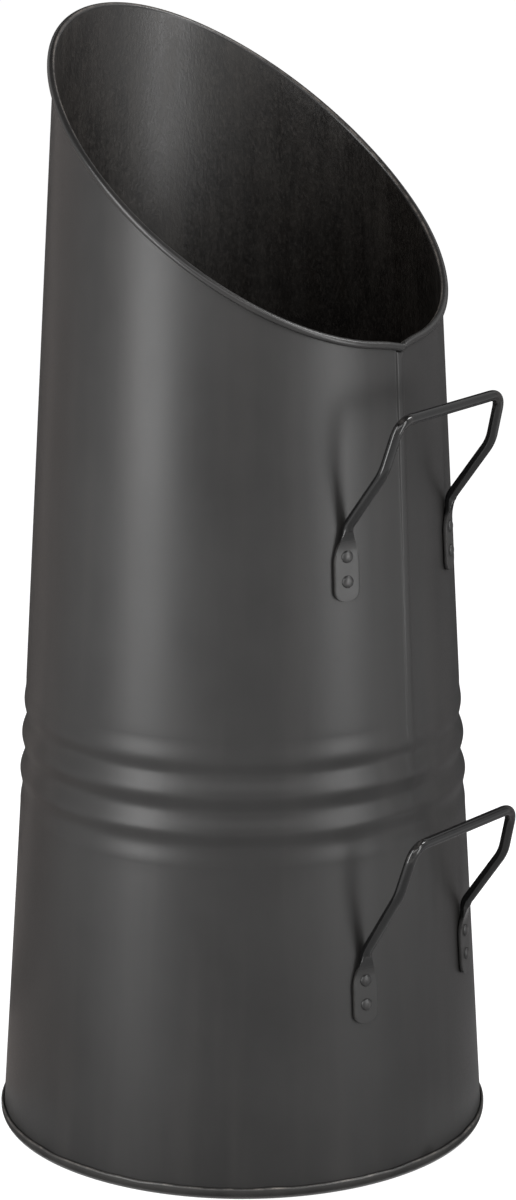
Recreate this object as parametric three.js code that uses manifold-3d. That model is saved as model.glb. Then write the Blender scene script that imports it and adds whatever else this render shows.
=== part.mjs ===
// A tall coal scuttle: a tapered sheet-steel bucket with a slanted mouth, three swaged ribs,
// a wired lip, a clinched base and two riveted rod handles, one above the other on its low side.
// Millimetres, +Z up. The low side of the mouth, the folded seam and the handles face -Y.

import * as THREE from 'three';
import { mergeVertices } from 'three/addons/utils/BufferGeometryUtils.js';
import { ConvexGeometry } from 'three/addons/geometries/ConvexGeometry.js';
import Module from 'manifold-3d';

const wasm = await Module();
wasm.setup();

// ---------------------------------------------------------------- driving dimensions

// Sheet body
const footRadius = 115;            // outside of the sheet at the floor
const lowerTaper = 0.0636;         // radius lost per millimetre of height, below the break
const upperTaper = 0.0551;         // and above it
const taperBreakHeight = 187;
const sheetThickness = 0.8;

// Swaged ribs
const ribCount = 3;
const ribPitch = 17.5;
const ribDepth = 0.9;
const topRibHeight = 207.5;

// Slanted lip, rolled outwards over a wire
const lipMidHeight = 455.5;        // bead centre at the two sides
const lipRise = 66.7;              // the front is this much lower and the back this much higher
const lipNotchDepth = 1.8;         // the lip dips where the two ends of the sheet meet
const lipNotchReach = 14;          // measured along the lip, each way
const rimWireRadius = 0.8;
const rimWireClearance = 0.2;
const hemOverlapAngle = THREE.MathUtils.degToRad(28);   // how far the curl turns back under the wire

// Folded seam down the front
const seamAngle = THREE.MathUtils.degToRad(-2.2);   // a little to the left of the low point
const seamWidth = 3;
const seamHeight = 0.8;
const seamShoulder = 0.5;          // sloping side of the fold

// Base pan: its edge folds down inside the sheet and back up outside it
const panThickness = 1.0;
const panRecess = 7;               // underside of the disc above the floor
const panLipHeight = 5.8;
const panClearance = 0.25;
const panBendRadius = 1.0;

// Handles: bent round rod, forged flat at both ends
const rodRadius = 2.5;
const upperRodHeight = 285;
const upperLeftTabHeight = 285.6;  // a tab's height is its lower rivet's; fitted by hand, so the
const upperRightTabHeight = 284.4; // rivets of a pair aren't quite level
const lowerRodHeight = 91;
const lowerLeftTabHeight = 87.8;
const lowerRightTabHeight = 90.6;
const footSpread = 37.6;           // half the distance between the two tabs
const footBendRise = 25.2;         // above the tab's lower rivet
const kneeRise = 53.8;             // above the rod's height, as is the grip
const kneeSpread = 39.8;
const kneeStandOff = 17.8;         // rod centre out from the wall's radius
const gripRise = 77.6;
const gripSpread = 37.3;
const gripStandOff = 26;
const footBendRadius = 8;
const kneeBendRadius = 24;
const gripBendRadius = 9;
const tabWidth = 12.6;
const tabThickness = 1.8;
const tabFootDrop = 8.9;           // the tab ends this far below its lower rivet
const tabCornerRadius = 4.5;
const tabTaperRise = 8.5;          // its sides draw in from here
const tabShoulderRise = 17.5;      // and the flat turns into the rod from here
const tabShoulderWidth = 8.8;
const tabClearance = 0.2;
const rivetPitch = 11.45;

// Rivets
const rivetHeadRadius = 2.9;
const rivetHeadHeight = 1.5;
const rivetShankRadius = 1.5;
const rivetHoleClearance = 0.15;
const rivetTailRadius = 2.3;       // the closed end inside the body
const rivetTailHeight = 1.0;
const rivetTailFlatShare = 0.8;    // of the tail's radius that is flat at its end
const rivetTailEdgeShare = 0.4;    // of its height that is straight
const rivetSeatGap = 0.12;

// Smoothness of the faceted solids
const turnColumns = 60;
const lipSideColumns = 52;
const hemSteps = 8;
const wireSides = 8;
const ribSamplesPerPitch = 4;
const rodSides = 10;
const rodSteps = 64;
const rivetSides = 12;
const bendSteps = 3;
const tabCornerSteps = 4;
const seamReaches = 1.25;          // the even columns start this many notch reaches from the seam
const slopeStep = 0.01;            // radians
const weldDistance = 1e-4;
const cutterReach = 4;             // a hole's cutter is this many times longer than its hole

// ---------------------------------------------------------------- materials

const blackCoat = new THREE.MeshStandardMaterial({ color: 0x3a3836, roughness: 0.55, metalness: 0.35 });
const wornCoat = new THREE.MeshStandardMaterial({ color: 0x34312f, roughness: 0.7, metalness: 0.4 });
const handleCoat = new THREE.MeshStandardMaterial({ color: 0x2b2a2b, roughness: 0.38, metalness: 0.4 });
const rivetSteel = new THREE.MeshStandardMaterial({ color: 0x3b393a, roughness: 0.42, metalness: 0.6 });
const hoopWire = new THREE.MeshStandardMaterial({ color: 0x5a5857, roughness: 0.5, metalness: 0.8 });

// ---------------------------------------------------------------- the wall

const hemInnerRadius = rimWireRadius + rimWireClearance;
const hemOuterRadius = hemInnerRadius + sheetThickness;
const ribTop = topRibHeight + ribPitch / 2;
const ribBottom = topRibHeight - ribCount * ribPitch;

function coneRadius(height) {
  const below = Math.min(height, taperBreakHeight);
  const above = Math.max(height - taperBreakHeight, 0);
  return footRadius - lowerTaper * below - upperTaper * above;
}

function taperAt(height) {
  return height < taperBreakHeight ? lowerTaper : upperTaper;
}

function ribOffset(height) {
  if (height <= ribBottom || height >= ribTop) return 0;
  const fade = Math.min(1, (ribTop - height) / ribPitch, (height - ribBottom) / ribPitch);
  return ribDepth * fade * Math.cos(2 * Math.PI * (height - topRibHeight) / ribPitch);
}

function wallRadius(height) {
  return coneRadius(height) + ribOffset(height);
}

// Height of the lip's bead centre at an angle from the front.
function lipHeight(angle) {
  const fromSeam = angle - seamAngle;
  const wrapped = Math.atan2(Math.sin(fromSeam), Math.cos(fromSeam));
  const alongLip = Math.abs(wrapped) * coneRadius(lipMidHeight - lipRise);
  const notch = lipNotchDepth * Math.max(0, 1 - alongLip / lipNotchReach) ** 2;
  return lipMidHeight - lipRise * Math.cos(angle) - notch;
}

function lipSlope(angle) {
  const rise = lipHeight(angle + slopeStep) - lipHeight(angle - slopeStep);
  return Math.atan2(rise, 2 * slopeStep * coneRadius(lipHeight(angle)));
}

// A point at an angle from the front, which faces -Y.
function turnPoint(radius, angle, height) {
  return new THREE.Vector3(radius * Math.sin(angle), -radius * Math.cos(angle), height);
}

// Local frame on the wall: X along the wall, Y up it and Z out of it.
function wallFrame(angle, height) {
  const taper = taperAt(height);
  const outward = turnPoint(1, angle, taper).normalize();
  const upward = turnPoint(-taper, angle, 1).normalize();
  const sideways = new THREE.Vector3().crossVectors(upward, outward);
  const frame = new THREE.Matrix4().makeBasis(sideways, upward, outward);
  return frame.setPosition(turnPoint(coneRadius(height), angle, height));
}

// How far the middle of a facet lies inside the true round.
function facetSag(radius, columns) {
  return radius * (1 - Math.cos(Math.PI / columns));
}

// ---------------------------------------------------------------- solids

function toSolid(geometry) {
  const bare = geometry.index ? geometry.clone() : geometry;
  bare.deleteAttribute('normal');
  bare.deleteAttribute('uv');
  const merged = mergeVertices(bare, weldDistance);
  return new wasm.Manifold(new wasm.Mesh({
    numProp: 3,
    vertProperties: new Float32Array(merged.attributes.position.array),
    triVerts: new Uint32Array(merged.index.array),
  }));
}

function toGeometry(solid) {
  const mesh = solid.getMesh();
  const geometry = new THREE.BufferGeometry();
  geometry.setAttribute('position', new THREE.BufferAttribute(mesh.vertProperties, 3));
  geometry.setIndex(new THREE.BufferAttribute(mesh.triVerts, 1));
  geometry.computeVertexNormals();
  return geometry;
}

function turned(profile, columns) {
  const points = profile.map(([radius, height]) => new THREE.Vector2(radius, height));
  return new THREE.LatheGeometry(points, columns).rotateX(Math.PI / 2);
}

// Points of an arc from one angle to another, both ends included.
function arcPoints(centreX, centreY, radius, from, to, steps) {
  return Array.from({ length: steps + 1 }, (_, step) => {
    const angle = from + (to - from) * step / steps;
    return [centreX + radius * Math.cos(angle), centreY + radius * Math.sin(angle)];
  });
}

// ---------------------------------------------------------------- sheet body and its wire

// Columns round the body: close together at the seam, where they keep their distance in
// millimetres, and evenly spread over the rest.
function lipColumns() {
  const foldEdge = seamWidth / 2;
  const foldFoot = foldEdge + seamShoulder;
  const oneSide = [foldEdge, foldFoot, (foldFoot + lipNotchReach) / 2, lipNotchReach];
  const seamArcs = [...oneSide.map((arc) => -arc).reverse(), 0, ...oneSide];
  const seam = seamArcs.map((arc) => {
    return { angle: seamAngle, arc, onSeam: Math.abs(arc) <= foldEdge };
  });
  const clearOfSeam = seamReaches * lipNotchReach / coneRadius(lipMidHeight + lipRise);
  const spread = 2 * (Math.PI - clearOfSeam) / lipSideColumns;
  const rest = Array.from({ length: lipSideColumns + 1 }, (_, index) => {
    return { angle: seamAngle + clearOfSeam + spread * index, arc: 0, onSeam: false };
  });
  return [...seam, ...rest];
}

// A closed ring: each row of the section is followed round all the columns. A row is either at a
// height on the wall, or rides on the lip at an offset square to it.
function ringAlongLip(rows) {
  const columns = lipColumns();
  const placeholder = rows.map((_, index) => new THREE.Vector2(footRadius, index));
  placeholder.push(placeholder[0].clone());
  const geometry = new THREE.LatheGeometry(placeholder, columns.length);
  const positions = geometry.attributes.position;
  const perColumn = placeholder.length;
  for (let columnIndex = 0; columnIndex <= columns.length; columnIndex += 1) {
    const column = columns[columnIndex % columns.length];
    for (let rowIndex = 0; rowIndex < perColumn; rowIndex += 1) {
      const point = ringPoint(rows[rowIndex % rows.length], column);
      positions.setXYZ(columnIndex * perColumn + rowIndex, point.x, point.y, point.z);
    }
  }
  return geometry;
}

function ringPoint(row, column) {
  const fold = row.folded && column.onSeam ? seamHeight : 0;
  if (row.height !== undefined) {
    const radius = wallRadius(row.height);
    return turnPoint(radius + row.out + fold, column.angle + column.arc / radius, row.height);
  }
  const lipRadius = coneRadius(lipMidHeight - lipRise);
  const angle = column.angle + column.arc / lipRadius;
  const slope = lipSlope(angle);
  const height = lipHeight(angle) + row.lip * Math.cos(slope);
  const radius = coneRadius(height);
  const shifted = angle - row.lip * Math.sin(slope) / radius;
  return turnPoint(radius + row.out + fold, shifted, height);
}

function ribRows(out, folded) {
  const count = Math.round((ribTop - ribBottom) / ribPitch * ribSamplesPerPitch);
  return Array.from({ length: count + 1 }, (_, step) => {
    return { height: ribBottom + (ribTop - ribBottom) * step / count, out, folded };
  });
}

function hemArc(radius, from, to) {
  return arcPoints(hemInnerRadius, 0, radius, from, to, hemSteps).map(([out, lip]) => ({ lip, out }));
}

function bodySection() {
  const bottom = panThickness + panClearance;
  const aboveLip = panLipHeight + panClearance;
  const curlEnd = -Math.PI / 2 - hemOverlapAngle;
  const underHem = -(hemOuterRadius + seamHeight);
  return [
    { height: bottom, out: 0, folded: false },
    { height: aboveLip, out: 0, folded: false },
    { height: aboveLip + seamHeight, out: 0, folded: true },
    ...ribRows(0, true),
    { lip: underHem, out: 0, folded: true },
    { lip: -hemOuterRadius, out: 0, folded: false },
    ...hemArc(hemInnerRadius, Math.PI, curlEnd),
    ...hemArc(hemOuterRadius, curlEnd, Math.PI),
    ...ribRows(-sheetThickness, false).reverse(),
    { height: bottom, out: -sheetThickness, folded: false },
  ];
}

function wireSection() {
  return Array.from({ length: wireSides }, (_, side) => {
    const angle = 2 * Math.PI * side / wireSides;
    return {
      lip: rimWireRadius * Math.sin(angle),
      out: hemInnerRadius + rimWireRadius * Math.cos(angle),
    };
  });
}

// ---------------------------------------------------------------- base pan

function panProfile() {
  const sheetOutside = footRadius + panClearance;
  const lipOutside = sheetOutside + panThickness;
  const sheetInside = coneRadius(panRecess + panThickness) - sheetThickness;
  const skirtOutside = sheetInside - facetSag(sheetInside, lipSideColumns) - panClearance;
  const skirtInside = skirtOutside - panThickness;
  const discTop = panRecess + panThickness;
  const bend = panBendRadius;
  const quarter = Math.PI / 2;
  return [
    [0, panRecess],
    [skirtInside - bend, panRecess],
    [skirtInside, panRecess - bend],
    ...arcPoints(skirtInside + bend, bend, bend, Math.PI, 3 * quarter, bendSteps),
    ...arcPoints(lipOutside - bend, bend, bend, -quarter, 0, bendSteps),
    ...arcPoints(lipOutside - bend, panLipHeight - bend, bend, 0, quarter, bendSteps),
    [sheetOutside, panLipHeight],
    [sheetOutside, panThickness],
    [skirtOutside, panThickness],
    ...arcPoints(skirtOutside - bend, discTop - bend, bend, 0, quarter, bendSteps),
    [0, discTop],
  ];
}

// ---------------------------------------------------------------- handles and rivets

// A bent rod's centre line: straight runs with a rounded bend at each inner point.
function bentPath(points, bendRadii) {
  const path = new THREE.CurvePath();
  let from = points[0];
  for (let index = 1; index < points.length - 1; index += 1) {
    const corner = points[index];
    const back = points[index - 1].clone().sub(corner).normalize();
    const ahead = points[index + 1].clone().sub(corner).normalize();
    const turn = Math.PI - back.angleTo(ahead);
    const reach = bendRadii[index - 1] * Math.tan(turn / 2);
    const bendStart = corner.clone().addScaledVector(back, reach);
    const bendEnd = corner.clone().addScaledVector(ahead, reach);
    path.add(new THREE.LineCurve3(from, bendStart));
    path.add(new THREE.QuadraticBezierCurve3(bendStart, corner, bendEnd));
    from = bendEnd;
  }
  path.add(new THREE.LineCurve3(from, points[points.length - 1]));
  return path;
}

// Where a tab's lower rivet goes through the wall, left (-1) or right (1) of the front.
function tabSeat(side, height) {
  const angle = side * Math.asin(footSpread / coneRadius(height));
  return { side, height, frame: wallFrame(angle, height) };
}

function tabGeometry() {
  const shape = new THREE.Shape();
  const half = tabWidth / 2;
  const corner = tabCornerRadius;
  const cornerRise = corner - tabFootDrop;
  shape.moveTo(half, cornerRise);
  shape.lineTo(half, tabTaperRise);
  shape.lineTo(tabShoulderWidth / 2, tabShoulderRise);
  shape.lineTo(rodRadius, footBendRise);
  shape.lineTo(-rodRadius, footBendRise);
  shape.lineTo(-tabShoulderWidth / 2, tabShoulderRise);
  shape.lineTo(-half, tabTaperRise);
  shape.lineTo(-half, cornerRise);
  shape.absarc(corner - half, cornerRise, corner, Math.PI, 1.5 * Math.PI, false);
  shape.absarc(half - corner, cornerRise, corner, 1.5 * Math.PI, 2 * Math.PI, false);
  const options = { depth: tabThickness, bevelEnabled: false, curveSegments: tabCornerSteps };
  return new THREE.ExtrudeGeometry(shape, options).translate(0, 0, tabClearance);
}

// The forged change from round rod to flat tab.
function forgedNeck() {
  const points = [];
  for (let side = 0; side < rodSides; side += 1) {
    const angle = 2 * Math.PI * side / rodSides;
    const across = rodRadius * Math.cos(angle);
    const out = tabClearance + rodRadius + rodRadius * Math.sin(angle);
    points.push(new THREE.Vector3(across, footBendRise, out));
  }
  const halfWidth = tabShoulderWidth / 2;
  for (const across of [-halfWidth, halfWidth]) {
    for (const out of [tabClearance, tabClearance + tabThickness]) {
      points.push(new THREE.Vector3(across, tabShoulderRise - tabThickness, out));
    }
  }
  return new ConvexGeometry(points);
}

function rodPath(rodHeight, tabs) {
  const kneeHeight = rodHeight + kneeRise;
  const gripHeight = rodHeight + gripRise;
  const kneeY = -(coneRadius(kneeHeight) + kneeStandOff);
  const gripY = -(coneRadius(gripHeight) + gripStandOff);
  const out = tabClearance + rodRadius;
  const oneSide = ({ side, frame }) => {
    return [
      new THREE.Vector3(0, footBendRise - 2 * rodRadius, out).applyMatrix4(frame),
      new THREE.Vector3(0, footBendRise, out).applyMatrix4(frame),
      new THREE.Vector3(side * kneeSpread, kneeY, kneeHeight),
      new THREE.Vector3(side * gripSpread, gripY, gripHeight),
    ];
  };
  const points = [...oneSide(tabs.left), ...oneSide(tabs.right).reverse()];
  const bends = [footBendRadius, kneeBendRadius, gripBendRadius];
  return bentPath(points, [...bends, ...bends.slice().reverse()]);
}

function rivetHole(frame) {
  const radius = rivetShankRadius + rivetHoleClearance;
  const length = cutterReach * (tabThickness + sheetThickness);
  const hole = new THREE.CylinderGeometry(radius, radius, length, rivetSides).rotateX(Math.PI / 2);
  return toSolid(hole.applyMatrix4(frame));
}

function handleSolid(rodHeight, tabs) {
  const section = new THREE.Shape().absarc(0, 0, rodRadius, 0, 2 * Math.PI, false);
  const extrudePath = rodPath(rodHeight, tabs);
  const options = { steps: rodSteps, curveSegments: rodSides / 2, extrudePath };
  let handle = toSolid(new THREE.ExtrudeGeometry(section, options));
  for (const { frame } of Object.values(tabs)) {
    handle = handle.add(toSolid(tabGeometry().applyMatrix4(frame)));
    handle = handle.add(toSolid(forgedNeck().applyMatrix4(frame)));
  }
  return handle;
}

function rivetProfile(radiusAtRivet) {
  const underHead = tabClearance + tabThickness + rivetSeatGap;
  const wallInside = sheetThickness + facetSag(radiusAtRivet, lipSideColumns);
  const tailTop = -(wallInside + rivetSeatGap);
  const crown = Array.from({ length: bendSteps + 1 }, (_, step) => {
    const angle = Math.PI / 2 * step / bendSteps;
    return [rivetHeadRadius * Math.cos(angle), underHead + rivetHeadHeight * Math.sin(angle)];
  });
  crown[crown.length - 1][0] = 0;
  return [
    [0, tailTop - rivetTailHeight],
    [rivetTailFlatShare * rivetTailRadius, tailTop - rivetTailHeight],
    [rivetTailRadius, tailTop - rivetTailEdgeShare * rivetTailHeight],
    [rivetTailRadius, tailTop],
    [rivetShankRadius, tailTop],
    [rivetShankRadius, underHead],
    ...crown,
  ];
}

// ---------------------------------------------------------------- assembly

const scuttle = new THREE.Group();

function addPiece(name, geometry, material) {
  const mesh = new THREE.Mesh(geometry, material);
  mesh.name = name;
  scuttle.add(mesh);
}

let body = toSolid(ringAlongLip(bodySection()));

const handles = [
  {
    level: 'upper',
    rodHeight: upperRodHeight,
    tabs: { left: tabSeat(-1, upperLeftTabHeight), right: tabSeat(1, upperRightTabHeight) },
  },
  {
    level: 'lower',
    rodHeight: lowerRodHeight,
    tabs: { left: tabSeat(-1, lowerLeftTabHeight), right: tabSeat(1, lowerRightTabHeight) },
  },
];

for (const { level, rodHeight, tabs } of handles) {
  let handle = handleSolid(rodHeight, tabs);
  for (const [sideName, tab] of Object.entries(tabs)) {
    for (const [place, rise] of [['bottom', 0], ['top', rivetPitch]]) {
      const seat = tab.frame.clone().multiply(new THREE.Matrix4().makeTranslation(0, rise, 0));
      const hole = rivetHole(seat);
      body = body.subtract(hole);
      handle = handle.subtract(hole);
      const rivet = turned(rivetProfile(coneRadius(tab.height)), rivetSides);
      addPiece(`rivet_${level}_${sideName}_${place}`, rivet.applyMatrix4(seat), rivetSteel);
    }
  }
  addPiece(`${level}_handle`, toGeometry(handle), handleCoat);
}

addPiece('body_shell', toGeometry(body), blackCoat);
addPiece('rim_wire', ringAlongLip(wireSection()), hoopWire);
addPiece('base_pan', turned(panProfile(), turnColumns), wornCoat);

// The origin is on the floor, midway between the front of the handles and the back of the foot.
const extent = new THREE.Box3().setFromObject(scuttle);
scuttle.position.y = -(extent.min.y + extent.max.y) / 2;

export default scuttle;
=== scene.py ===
"""A tall black coal scuttle: its looks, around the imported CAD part."""
import math

import bpy
import numpy as np
from mathutils import Matrix, Vector


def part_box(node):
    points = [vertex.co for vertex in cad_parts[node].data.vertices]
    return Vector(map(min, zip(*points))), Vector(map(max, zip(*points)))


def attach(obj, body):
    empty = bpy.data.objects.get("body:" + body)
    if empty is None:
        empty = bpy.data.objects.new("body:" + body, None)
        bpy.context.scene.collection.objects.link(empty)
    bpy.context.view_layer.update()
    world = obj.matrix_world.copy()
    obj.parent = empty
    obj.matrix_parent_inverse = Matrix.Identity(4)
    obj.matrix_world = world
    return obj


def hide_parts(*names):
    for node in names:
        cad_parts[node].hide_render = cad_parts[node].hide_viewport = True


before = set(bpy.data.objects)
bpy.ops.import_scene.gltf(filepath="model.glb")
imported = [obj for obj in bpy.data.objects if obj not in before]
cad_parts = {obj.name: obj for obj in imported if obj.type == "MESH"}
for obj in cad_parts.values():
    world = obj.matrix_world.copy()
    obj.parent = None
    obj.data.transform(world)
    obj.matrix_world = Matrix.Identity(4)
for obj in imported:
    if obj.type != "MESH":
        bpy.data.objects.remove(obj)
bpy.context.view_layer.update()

MM = 0.001
pan_low, pan_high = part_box("base_pan")
AXIS_Y = (pan_low.y + pan_high.y) / 2 / MM      # the body's axis stands at x = 0

# ---------------------------------------------------------------- dimensions, in millimetres

# Sheet body
FOOT_RADIUS = 115.0
LOWER_TAPER, UPPER_TAPER = 0.0636, 0.0551       # radius lost per millimetre of height
TAPER_BREAK = 187.0                             # and the height where one gives way to the other
SHEET = 0.8
RIB_COUNT, RIB_PITCH, RIB_DEPTH, TOP_RIB = 3, 17.5, 0.9, 207.5
RIB_TOP = TOP_RIB + RIB_PITCH / 2
RIB_BOTTOM = TOP_RIB - RIB_COUNT * RIB_PITCH

# Slanted lip, rolled outwards over a wire
LIP_MID, LIP_RISE = 455.38, 66.7                # a little under the CAD's, whose bead is faceted
NOTCH_DEPTH, NOTCH_REACH = 1.8, 14.0
WIRE_RADIUS, WIRE_CLEARANCE = 0.8, 0.2
HEM_INNER = WIRE_RADIUS + WIRE_CLEARANCE
HEM_OUTER = HEM_INNER + SHEET
HEM_OVERLAP = math.radians(28)
PINCH_ARC, PINCH_WIDTH, PINCH_SHARE = 1.9, 0.35, 0.28   # a nick across the bead beside the seam
ROLLED_FROM, ROLLED_TO = -0.6, 0.4              # over which the bead takes up the nick

# Folded seam down the front, a crisp strip high up and a soft swell low down
SEAM_TURN = math.radians(-2.2)
SEAM_WIDTH, SEAM_HEIGHT, SEAM_SHOULDER = 3.0, 0.8, 0.5
SWELL_BELOW, CRISP_ABOVE = 150.0, 400.0
SHOULDERS_LOW, SHOULDERS_HIGH = 3.0, 0.8        # widths of the sloping sides, in shoulders
CROWN_POWER = 2.5
FOLD_END_SHARE = 0.6                            # of its height, half way into the bead's corner
SWELL_REACH, SWELL_SHARE = 2.4, 0.30            # of the strip's reach and of its height
RIDGE_TURN = math.radians(8.5)                  # the sheet is flat this far either side of the seam
RIDGE_FROM, RIDGE_TO = 110.0, 300.0             # once it is above these heights

# Slow unevenness of hand-rolled sheet, which fades towards the foot
DENT_WAVES = (      # waves round the body, radians per millimetre up it, start and depth
    (3, 0.0110, 0.6, 0.10), (5, 0.0170, 2.1, 0.07), (8, 0.0090, 4.0, 0.04), (11, 0.0230, 1.2, 0.03),
)
DENT_FROM, DENT_TO = 8.0, 60.0

# Base pan, whose edge is clinched round the foot as a flattened bead
PAN_THICKNESS, PAN_RECESS, PAN_LIP, PAN_CLEARANCE, PAN_BEND = 1.0, 7.0, 5.8, 0.25, 1.0
SKIRT_CLEARANCE = 0.6
BEAD_MIDDLE, BEAD_TUCK, BEAD_TOP = 0.62 * PAN_LIP, 1.9, 0.9     # widest at, drawn in by, top radius
LIP_WAVES = ((17, 1.0, 0.12), (29, 3.0, 0.10), (41, 0.0, 0.08))     # waves round it, start, depth
LIP_DROP = 0.30                                 # the waves lie this far under the CAD's edge
LIP_STEADY, LIP_LOOSE = 3.2, 5.4                # heights between which they grow

# Handles: bent round rod, forged flat at both ends. A rise is above the tab's lower rivet.
ROD_RADIUS = 2.5
HANDLES = {
    "upper": {"rod": 285.0, "left": 285.6, "right": 284.4},
    "lower": {"rod": 91.0, "left": 87.8, "right": 90.6},
}
FOOT_SPREAD, FOOT_BEND_RISE = 37.6, 25.2
KNEE_RISE, KNEE_SPREAD, KNEE_STAND_OFF = 53.8, 39.8, 17.8
GRIP_RISE, GRIP_SPREAD, GRIP_STAND_OFF = 77.6, 37.3, 26.0
FOOT_BEND, KNEE_BEND, GRIP_BEND = 8.0, 24.0, 9.0
TAB_WIDTH, TAB_THICKNESS, TAB_CLEARANCE = 12.6, 1.8, 0.2
TAB_FOOT_DROP, TAB_CORNER, TAB_TAPER_RISE = 8.9, 4.5, 8.5
TAB_NECK_RISE = 25.0                            # its sides have drawn in to the rod here
THICKEN_FROM, THICKEN_TO = 12.0, 19.5           # over which the flat thickens to the rod
FACET_FROM, FACET_REACH, FACET_POWER = 13.0, 11.6, 1.8      # over which its hammered face dies out
SQUARE_TO, ROUND_BY = 12.0, 20.0                # over which its section turns from square to round
TAB_SQUARENESS, ROD_SQUARENESS = 10.0, 2.0      # powers of the section's superellipse
ROD_FROM = FOOT_BEND_RISE - 4.0                 # above this the handle follows the rod's line

# Rivets
RIVET_PITCH, RIVET_HEAD_RADIUS, RIVET_HEAD_HEIGHT = 11.45, 2.9, 1.5
RIVET_SHANK, RIVET_TAIL_RADIUS, RIVET_TAIL_HEIGHT = 1.5, 2.3, 1.0
RIVET_SINK = 0.12                               # the head starts this far inside the tab
RIVET_TAIL_GAP = 0.05
TAIL_FLAT, TAIL_BEVEL, TAIL_EDGE = 0.8, 0.95, 0.4   # shares of the tail's radius and height
TAIL_SINK, CROWN_DIP = 0.1, 0.02                # into the sheet, and of the head's middle
HEAD_WIDTH_POWER, HEAD_HEIGHT_POWER = 0.8, 0.9  # under 1 is fuller than a sphere

# Where the coat is rubbed, and how strongly
BEAD_RUB_AT, BEAD_RUB_WIDTH = math.radians(128), math.radians(13)   # round the rolled lip
PAN_RUB_OUT, PAN_RUB_UP = (0.4, 1.1), (4.9, 5.5)    # past the foot's radius, and the heights
TAB_EDGE, TAB_EDGE_WEAR = (0.93, 0.99), 0.35        # shares of the half width
TAB_EDGE_FADE = (15.0, 20.0)                        # rises over which that ends
FACET_RUB, FACET_WEAR = (20.0, 24.0), 0.30          # rises over which the face's wear starts
BEND_RUB, BEND_WEAR, BEND_CLEAR = (0.03, 0.10), 0.5, 6.0    # from a slight bend to a full one
TAB_COAT_FADE = (14.0, 22.0)                        # rises over which satin turns into gloss

# Fineness of the meshes
FINE_REACH, FINE_STEP, NEAR_STEP = 4.0, 0.2, 0.7    # columns across the seam and the notch
FINE_GAP = 0.6
EVEN_COLUMNS, SEAM_REACHES = 281, 1.25          # the rest, from this many notch reaches
FAR = 99.0                                      # the seam distance of every column past the notch
LOW_ROWS, RIB_ROWS, HIGH_ROWS = 26, 97, 44
INNER_HIGH_ROWS, INNER_RIB_ROWS, INNER_LOW_ROWS = 26, 61, 16
CURL_STEPS, TIP_STEPS, BEAD_STEPS = 18, 6, 30
WIRE_SIDES, PAN_COLUMNS, ROD_SIDES, RIVET_SIDES = 12, 240, 40, 28
BEND_STEP = 1.2                                 # along the rod's first line
END_STEP, ROD_STEP, END_REACH = 0.35, 0.9, 6.0  # along the rod, near its ends and between them
FLAT_STEP, CORNER_STEPS = 0.8, 9                # up the tab's flat and round its corner


# ---------------------------------------------------------------- shapes

def smooth(value, low, high):
    t = np.clip((np.asarray(value, float) - low) / (high - low), 0, 1)
    return t * t * (3 - 2 * t)


def cone_radius(height):
    below = np.minimum(height, TAPER_BREAK)
    above = np.maximum(np.asarray(height, float) - TAPER_BREAK, 0)
    return FOOT_RADIUS - LOWER_TAPER * below - UPPER_TAPER * above


def rib_offset(height):
    fade = np.minimum(1, np.minimum(RIB_TOP - height, height - RIB_BOTTOM) / RIB_PITCH)
    wave = np.cos(2 * np.pi * (height - TOP_RIB) / RIB_PITCH)
    return RIB_DEPTH * np.maximum(fade, 0) * wave


def turn_from_seam(turn):
    return np.abs(np.angle(np.exp(1j * (turn - SEAM_TURN))))


def ridge_offset(turn, height):
    """How far the sheet, left flat beside its seam, stands out from the round."""
    flat = RIDGE_TURN * smooth(height, RIDGE_FROM, RIDGE_TO)
    return cone_radius(height) * (1 / np.cos(np.maximum(flat - turn_from_seam(turn), 0)) - 1)


def dent(turn, height):
    total = 0
    for count, climb, start, depth in DENT_WAVES:
        total = total + depth * np.cos(count * turn + start) * np.cos(climb * height + 2 * start)
    return total * smooth(height, DENT_FROM, DENT_TO)


def fold_offset(distance, height):
    """Height of the folded seam above the sheet, at a distance along the wall from its middle."""
    crisp = smooth(height, SWELL_BELOW, CRISP_ABOVE)
    shoulders = SHOULDERS_LOW - (SHOULDERS_LOW - SHOULDERS_HIGH) * crisp
    reach = SEAM_WIDTH / 2 + SEAM_SHOULDER * shoulders
    crown = np.maximum(0, 1 - (np.abs(distance) / reach) ** CROWN_POWER)
    swell = 1 - smooth(np.abs(distance), 0, SWELL_REACH * reach)
    return SEAM_HEIGHT * (crisp * crown * (2 - crown) + (1 - crisp) * SWELL_SHARE * swell)


def lip_height(turn):
    along = turn_from_seam(turn) * cone_radius(LIP_MID - LIP_RISE)
    notch = NOTCH_DEPTH * np.maximum(0, 1 - along / NOTCH_REACH) ** 2
    return LIP_MID - LIP_RISE * np.cos(turn) - notch


def lip_slope(turn):
    step = 0.01
    rise = lip_height(turn + step) - lip_height(turn - step)
    return np.arctan2(rise, 2 * step * cone_radius(lip_height(turn)))


def place(radius, turn, height):
    """Rows of points in metres, at a turn from the front, which faces -Y."""
    x = radius * np.sin(turn)
    y = AXIS_Y - radius * np.cos(turn)
    return np.stack(np.broadcast_arrays(x, y, height), -1) * MM


def place_points(points):
    """Points in metres, from millimetres about the body's axis."""
    return (points + (0, AXIS_Y, 0)) * MM


def mesh_piece(name, points, faces, materials, face_material=None, sharp=40):
    data = bpy.data.meshes.new(name)
    data.from_pydata([tuple(p) for p in points], [], faces)
    data.validate()
    for material in materials:
        data.materials.append(material)
    if face_material is not None:
        data.polygons.foreach_set("material_index", np.asarray(face_material, np.int32))
    data.polygons.foreach_set("use_smooth", np.ones(len(data.polygons), bool))
    data.set_sharp_from_angle(angle=math.radians(sharp))
    piece = bpy.data.objects.new(name, data)
    bpy.context.scene.collection.objects.link(piece)
    return piece


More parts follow.
